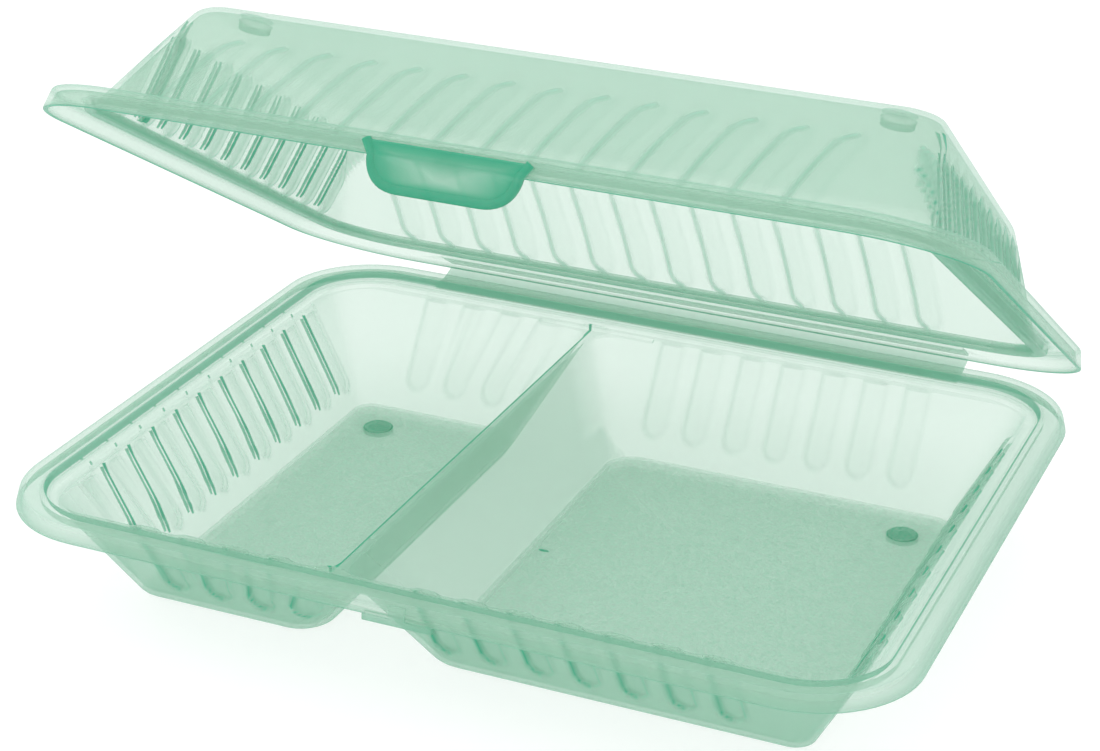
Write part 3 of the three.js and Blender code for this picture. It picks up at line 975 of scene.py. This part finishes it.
def tray_plastic():
    graph = Graph("tray_green")
    place = graph.node("ShaderNodeAttribute", attribute_name="place").outputs["Vector"]
    x, y, z = graph.parts(place)
    levels = (WALL + FLUTE_END + 0.5, LAND_Z - EDGE_RADIUS)
    lines = flute_shade_lines(graph, x, y, z, TRAY_LINES_X, levels)
    frost = graph.math("LESS_THAN", z, FROST_TOP)
    speck = pebbles(graph, place, frost)
    green = graph.greener(
        base_green(graph),
        # Painted shade down one flank of each flute
        (graph.product(lines, faces_inwards(graph, x)), SHADE_LINE_TONE),
        # Painted shade along the divider
        (ridge_shade_line(graph, x, y, z), SHADE_LINE_TONE),
        (gate_nick(graph, x, y, z), NICK_TONE),
        (pad_discs(graph, x, y, PAD_X, PAD_Y), PAD_TONE),
        # Frosted floors, greener partly for their frost and partly as painted shade from beneath them
        (frost, FROST_AND_SHADE_TONE),
        (speck, PEBBLE_TONE),
    )
    opacity = graph.math("MULTIPLY_ADD", green, GREEN_DENSITY, CLEAR_DENSITY)
    # The frosted floors are denser partly for their frost and partly as painted shade from beneath
    # them
    opacity = graph.math("MULTIPLY_ADD", frost, FROST_AND_SHADE_DENSITY, opacity, clamp=True)

    gloss = graph.node("ShaderNodeBsdfPrincipled")
    roughness = graph.math("MULTIPLY_ADD", frost, FROST_ROUGHNESS, GLOSS_ROUGHNESS)
    graph.links.new(roughness, gloss.inputs["Roughness"])
    bump = graph.node("ShaderNodeBump")
    bump.inputs["Distance"].default_value = PEBBLE_HEIGHT
    bump.inputs["Strength"].default_value = 0.5
    graph.links.new(speck, bump.inputs["Height"])
    graph.links.new(bump.outputs[0], gloss.inputs["Normal"])
    return surface(graph, green, opacity, gloss)


def lid_plastic():
    graph = Graph("lid_green")
    place = graph.node("ShaderNodeAttribute", attribute_name="place").outputs["Vector"]
    x, y, z = graph.parts(place)
    levels = (LID_FOOT_Z + 4, ROOF_Z - WALL - FLUTE_END)
    near_roof = graph.math("GREATER_THAN", z, ROOF_Z - 8)
    green = graph.greener(
        base_green(graph),
        # Painted shade down one flank of each flute
        (flute_shade_lines(graph, x, y, z, LID_LINES_X, levels), SHADE_LINE_TONE),
        (graph.product(pad_discs(graph, x, y, LUG_X, LUG_Y), near_roof), PAD_TONE),
        # Painted shade up the front corners of the lid
        (corner_shade_lines(graph, x, y, z), CORNER_SHADE_TONE),
    )
    opacity = graph.math("MULTIPLY_ADD", green, GREEN_DENSITY, CLEAR_DENSITY)
    gloss = graph.node("ShaderNodeBsdfPrincipled")
    gloss.inputs["Roughness"].default_value = GLOSS_ROUGHNESS
    return surface(graph, green, opacity, gloss)


def bends(mesh):
    """How sharply the surface turns at each point, in radians per millimetre."""
    shortest = 0.02
    sharpest = [0.0] * len(mesh.vertices)
    for edge in mesh.edges:
        first, second = (mesh.vertices[v] for v in edge.vertices)
        length = (first.co - second.co).length / METRE
        if length > shortest:
            bend = first.normal.angle(second.normal, 0) / length
            for v in edge.vertices:
                sharpest[v] = max(sharpest[v], bend)
    return sharpest


def paint_layer(piece, choose):
    """Stores each point's place on the shut container, and how green it is painted, painted shade
    included.
    """
    mesh = piece.data
    sharpest = bends(mesh)
    places = [tuple(value / METRE for value in vertex.co) for vertex in mesh.vertices]
    tones = [choose(*place, bend) for place, bend in zip(places, sharpest)]
    mesh.attributes.new("place", "FLOAT_VECTOR", "POINT")
    mesh.attributes["place"].data.foreach_set("vector", [v for place in places for v in place])
    mesh.attributes.new("paint", "FLOAT", "POINT")
    mesh.attributes["paint"].data.foreach_set("value", tones)


def flank_shade(across, beyond, crisp, soft):
    """Painted shade of a flute: a crisp line down one side and a soft one down the other."""
    distance = hypot(across, max(beyond, 0))
    line = max(0, 1 - abs(distance - FLUTE_HALF) / FLANK_WIDTH)
    tone = line * (crisp if across < 0 else soft)
    if distance < FLUTE_HALF:
        tone = max(tone, soft * 0.5)
    return tone


def nearest_row(at, row):
    """Distance from the middle line of the nearest flute."""
    return min((at - centre for centre in row), key=abs)


def wall_flute_shade(shapes, x, y, z, looks):
    """Painted shade of the flutes at a place, from the row of the wall that passes nearest."""
    best = 0
    for shape in shapes:
        reach = shape["reach"]
        depth = (z - shape["mouth_z"]) * shape["direction"]
        if not 0 < depth < reach:
            continue
        side = wall_inset(depth, reach, shape["side_slope"], shape["side_fillet"])
        end = wall_inset(depth, reach, shape["end_slope"], shape["end_fillet"])
        lean = FLUTE_LEAN * depth + FLUTE_CURL * depth**2 if shape["tilt"] else 0
        beyond = max(depth - (reach - FLUTE_END - FLUTE_HALF), shape["flute_start"] - depth)
        # For each wall: the distance from its face, and the place along its row of flutes.
        walls = {
            "left": (x - shape["left"] - side, y),
            "right": (x - shape["right"] + side, y),
        }
        if shape["left"] - WALL_REACH < x < shape["right"] + WALL_REACH:
            walls["front"] = (y + MOUTH_Y - end, x - lean)
            walls["back"] = (y - MOUTH_Y + end, x + lean)
        for wall, (distance, along) in walls.items():
            row = shape["flutes"][wall]
            if row and abs(distance) < WALL_REACH:
                best = max(best, flank_shade(nearest_row(along, row), beyond, *looks[wall]))
    return best


def rim_inset(x, y):
    """How far inside the rim's outer edge a place lies, seen from above."""
    dx = abs(x) - (RIM_LENGTH / 2 - RIM_CORNER)
    dy = abs(y) - (RIM_DEPTH / 2 - RIM_CORNER)
    return RIM_CORNER - max(hypot(max(dx, 0), max(dy, 0)), dx, dy)


def edge_share(bend):
    """How much a place counts as an edge, from 0 to 1."""
    return smoothstep((bend - 0.12) / 0.7)


def tray_paint(x, y, z, bend):
    inset = rim_inset(x, y)
    if z < FROST_TOP + 0.5:
        return FLOOR_TONE
    if z > LAND_Z - WALL - 0.5 or inset < LAND_INSET - ROOT_OUTER:
        # Painted shade: a dark line in the step inside the bead, and deeper green along the rim's
        # bends and its foot
        if abs(inset - BEAD_WIDTH) < 0.35 and z > LAND_Z:
            return BEAD_SHADE_LINE
        foot = z < RIM_HEIGHT - SKIRT_HEIGHT + 0.6 and inset < 1
        return RIM_TONE + (RIM_FOOT_SHADE if foot else RIM_EDGE_SHADE) * edge_share(bend)
    # Painted shade: the front walls, and the walls of the divider, are painted a deeper green.
    side_shade = 0
    if y < -END_FLOOR_Y:
        side_shade = FRONT_WALL_SHADE
    elif abs(x - RIDGE_X) < WEB_REACH + 1 and y < END_FLOOR_Y:
        side_shade = DIVIDER_SHADE
    # Painted shade on the flutes' flanks, or the deeper painted shade of the wall where that is
    # darker
    return TRAY_WALL_TONE + max(side_shade, wall_flute_shade(compartments(), x, y, z, TRAY_FLANK_SHADES))


def on_tab(x, y, z):
    front = -RIM_DEPTH / 2 - SKIRT_FLARE - SKIRT_FIT
    beside = TAB_TOP_WIDTH / 2 + 2
    return y < front - 1.5 and abs(x - LATCH_X) < beside and z < LID_RIM_Z - TAB_DROP + 1


def lid_paint(x, y, z, bend):
    if on_tab(x, y, z):
        # The panel grows paler towards its middle.
        up = z - LID_RIM_Z + TAB_DROP + TAB_LENGTH / 2
        return TAB_MIDDLE_TONE if hypot(x - LATCH_X, up) < 3 else TAB_TONE
    inset = rim_inset(x, y)
    # Painted shade in the groove beside the foot of the dome
    if GROOVE[0] < inset < GROOVE[1] and z < LID_RIM_Z - GROOVE_DROP:
        return GROOVE_SHADE
    # Painted shade along the rim's bends and its foot
    if inset < LAND_INSET - ROOT_OUTER:
        foot = z < LID_RIM_Z - LID_SKIRT + 0.3 and inset < 1
        return RIM_TONE + (LID_FOOT_SHADE if foot else LID_EDGE_SHADE) * edge_share(bend)
    if z > ROOF_Z - 4.5:
        return DOME_TONE
    # Painted shade on the flutes' flanks
    return DOME_TONE + wall_flute_shade([dome()], x, y, z, LID_FLANK_SHADES)


def finish_piece(piece, material, body, choose):
    paint_layer(piece, choose)
    if body == "lid":
        swing_open(piece)
    mesh = piece.data
    mesh.materials.clear()
    mesh.materials.append(material)
    mesh.shade_smooth()
    mesh.set_sharp_from_angle(angle=SHARP_ANGLE)
    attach(piece, body)
    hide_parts(body)


def make_floor():
    corners = [(-1, -1), (1, -1), (1, 1), (-1, 1)]
    points = [(x * FLOOR_HALF, y * FLOOR_HALF, -FLOOR_DROP) for x, y in corners]
    floor = new_object("floor", points, [(0, 1, 2, 3)])
    material = bpy.data.materials.new("floor_white")
    material.use_nodes = True
    shader = material.node_tree.nodes["Principled BSDF"]
    shader.inputs["Base Color"].default_value = (FLOOR_GREY, FLOOR_GREY, FLOOR_GREY, 1)
    shader.inputs["Roughness"].default_value = 0.9
    shader.inputs["Specular IOR Level"].default_value = 0.1
    shader.inputs["Emission Color"].default_value = (1, 1, 1, 1)
    shader.inputs["Emission Strength"].default_value = FLOOR_GLOW
    material.cycles.emission_sampling = "NONE"
    floor.data.materials.append(material)


def make_light():
    """Soft light from all round, brighter from above and from the left."""
    world = bpy.data.worlds.new("studio")
    world.use_nodes = True
    world.cycles.sampling_method = "NONE"
    nodes = world.node_tree.nodes
    links = world.node_tree.links
    toward = nodes.new("ShaderNodeTexCoord")
    towards_key = nodes.new("ShaderNodeVectorMath")
    towards_key.operation = "DOT_PRODUCT"
    towards_key.inputs[1].default_value = Vector(KEY_DIRECTION).normalized()
    strength = nodes.new("ShaderNodeMapRange")
    strength.inputs["From Min"].default_value = -1
    strength.inputs["To Min"].default_value = DIM_SIDE
    strength.inputs["To Max"].default_value = BRIGHT_SIDE
    background = nodes["Background"]
    background.inputs["Color"].default_value = (1, 1, 1, 1)
    links.new(toward.outputs["Generated"], towards_key.inputs[0])
    links.new(towards_key.outputs["Value"], strength.inputs["Value"])
    links.new(strength.outputs[0], background.inputs["Strength"])
    bpy.context.scene.world = world
    bpy.context.scene.view_settings.view_transform = "Standard"


def make_camera():
    """Stands where the photograph was taken from, with its frame."""
    back = Vector((sin(CAMERA_TURN), -cos(CAMERA_TURN), tan(CAMERA_TILT))).normalized()
    side = Vector((cos(CAMERA_TURN), sin(CAMERA_TURN), 0))
    up = back.cross(side)
    right = cos(CAMERA_ROLL) * side + sin(CAMERA_ROLL) * up
    top = cos(CAMERA_ROLL) * up - sin(CAMERA_ROLL) * side
    rows = Matrix((right, top, back)).transposed()
    place = -(rows @ Vector(CAMERA_OFFSET))
    data = bpy.data.cameras.new("camera")
    data.sensor_width = SENSOR_WIDTH
    data.lens = FOCAL_PIXELS / FRAME_WIDTH * SENSOR_WIDTH
    data.shift_x = (FRAME_WIDTH / 2 - CENTRE_PIXELS[0]) / FRAME_WIDTH
    data.shift_y = (CENTRE_PIXELS[1] - FRAME_HEIGHT / 2) / FRAME_WIDTH
    camera = bpy.data.objects.new("camera", data)
    camera.matrix_world = Matrix.Translation(place * METRE) @ rows.to_4x4()
    bpy.context.scene.collection.objects.link(camera)
    bpy.context.scene.camera = camera


make_camera()
make_light()
make_floor()
finish_piece(make_tray(), tray_plastic(), "tray", tray_paint)
finish_piece(make_lid(), lid_plastic(), "lid", lid_paint)
